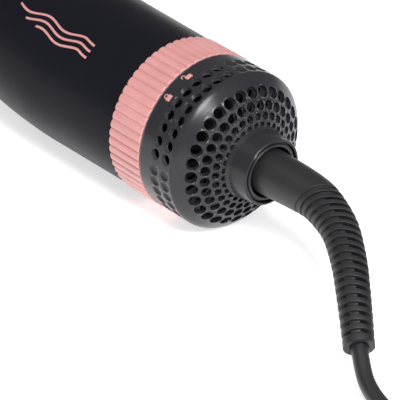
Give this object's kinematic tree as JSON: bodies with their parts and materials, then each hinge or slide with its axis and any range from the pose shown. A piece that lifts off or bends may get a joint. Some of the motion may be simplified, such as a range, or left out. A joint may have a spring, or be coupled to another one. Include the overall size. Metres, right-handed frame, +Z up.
{
  "type": "hot air brush",
  "caption": "Round hot air styling brush with a blower handle, a ribbed lock ring, a perforated intake cap and a swivelling mains cord.",
  "frame": {"origin": "below the middle of the brush without its cord, on the surface that it lies on", "axes": "+X along the brush from its tip to the cord, +Z up, as it lies"},
  "size_m": [0.5666, 0.1072, 0.06],
  "materials": {
    "shell_black": "satin moulded plastic",
    "ring_rose": "satin rose plastic with fine ribs",
    "cap_black": "satin moulded plastic",
    "frame_black": "matte moulded plastic",
    "guide_grey": "matte moulded plastic",
    "panel_gloss": "gloss plastic",
    "button_rose": "satin rose plastic",
    "trim_rose": "gloss rose plastic",
    "screw_steel": "zinc plated steel",
    "screen_steel": "fine steel mesh",
    "motor_steel": "drawn steel",
    "magnet_grey": "sintered ferrite",
    "armature_steel": "laminated steel and copper",
    "brass": "machined brass",
    "heating_wire": "bright resistance wire",
    "mica": "pressed mica board",
    "fan_white": "matte moulded plastic",
    "board_green": "solder-resist green",
    "barrel_coat": "ceramic coated metal",
    "bristle_nylon": "nylon bristles",
    "rubber_black": "soft moulded rubber",
    "cord_black": "smooth cord sheath",
    "tie_black": "soft strap",
    "plug_nickel": "nickel plated brass"
  },
  "bodies": {
    "cord_set": {"strain_relief": "rubber_black", "swivel_rotor": "frame_black", "slip_rings": "brass", "cord": "cord_black", "cord_coil": "cord_black", "cord_tail": "cord_black", "coil_tie": "tie_black", "plug_body": "rubber_black", "plug_pins": "plug_nickel"},
    "handle": {"upper_shell": "shell_black", "lower_shell": "shell_black", "shell_screws": "screw_steel", "rear_frame": "frame_black", "swivel_retainer": "frame_black", "contact_carrier": "frame_black", "contact_pins": "brass", "air_guide": "guide_grey", "rubber_damper": "rubber_black", "motor_can": "motor_steel", "motor_magnets": "magnet_grey", "motor_end_cap": "guide_grey", "heater_sleeve": "mica", "mica_cross": "mica", "heater_coil": "heating_wire", "thermostat": "motor_steel", "thermal_fuse": "motor_steel", "control_panel": "panel_gloss", "switch_body": "guide_grey", "cool_shot_switch": "guide_grey", "circuit_board": "board_green", "front_trim": "trim_rose"},
    "lock_ring": {"lock_ring": "ring_rose"},
    "intake_cap": {"intake_cap": "cap_black", "dust_screen": "screen_steel"},
    "fan": {"fan": "fan_white", "motor_shaft": "motor_steel", "armature": "armature_steel"},
    "speed_slider": {"switch_slider": "button_rose"},
    "cool_shot_button": {"cool_shot_button": "button_rose"},
    "release_button": {"release_button": "button_rose"},
    "brush_head": {"head_base": "frame_black", "barrel": "barrel_coat", "bristle_strips": "bristle_nylon", "barrel_frame": "guide_grey", "cool_tip": "shell_black", "tip_screw": "screw_steel"}
  },
  "joints": [
    {"name": "cord_swivel", "type": "hinge", "parent": "cord_set", "child": "handle", "pos_m": [0.1863, 0, 0.03], "axis": [1, 0, 0], "continuous": true},
    {"name": "filter_turn", "type": "hinge", "parent": "handle", "child": "lock_ring", "pos_m": [0.1501, 0, 0.03], "axis": [1, 0, 0], "range_deg": [0, 20]},
    {"name": "filter_pull", "type": "slide", "parent": "lock_ring", "child": "intake_cap", "axis": [1, 0, 0], "range_m": [0, 0.028]},
    {"name": "fan_spin", "type": "hinge", "parent": "handle", "child": "fan", "pos_m": [0.1141, 0, 0.03], "axis": [1, 0, 0], "continuous": true},
    {"name": "speed_slide", "type": "slide", "parent": "handle", "child": "speed_slider", "axis": [-1, 0, 0], "range_m": [0, 0.01]},
    {"name": "cool_shot_press", "type": "slide", "parent": "handle", "child": "cool_shot_button", "axis": [0, 0.6428, -0.766], "range_m": [0, 0.0015], "stiffness_N_per_m": 900},
    {"name": "release_press", "type": "slide", "parent": "handle", "child": "release_button", "axis": [0, 0.6428, -0.766], "range_m": [0, 0.0012], "stiffness_N_per_m": 900},
    {"name": "head_pull", "type": "slide", "parent": "handle", "child": "brush_head", "axis": [-1, 0, 0], "range_m": [0, 0.025]}
  ]
}
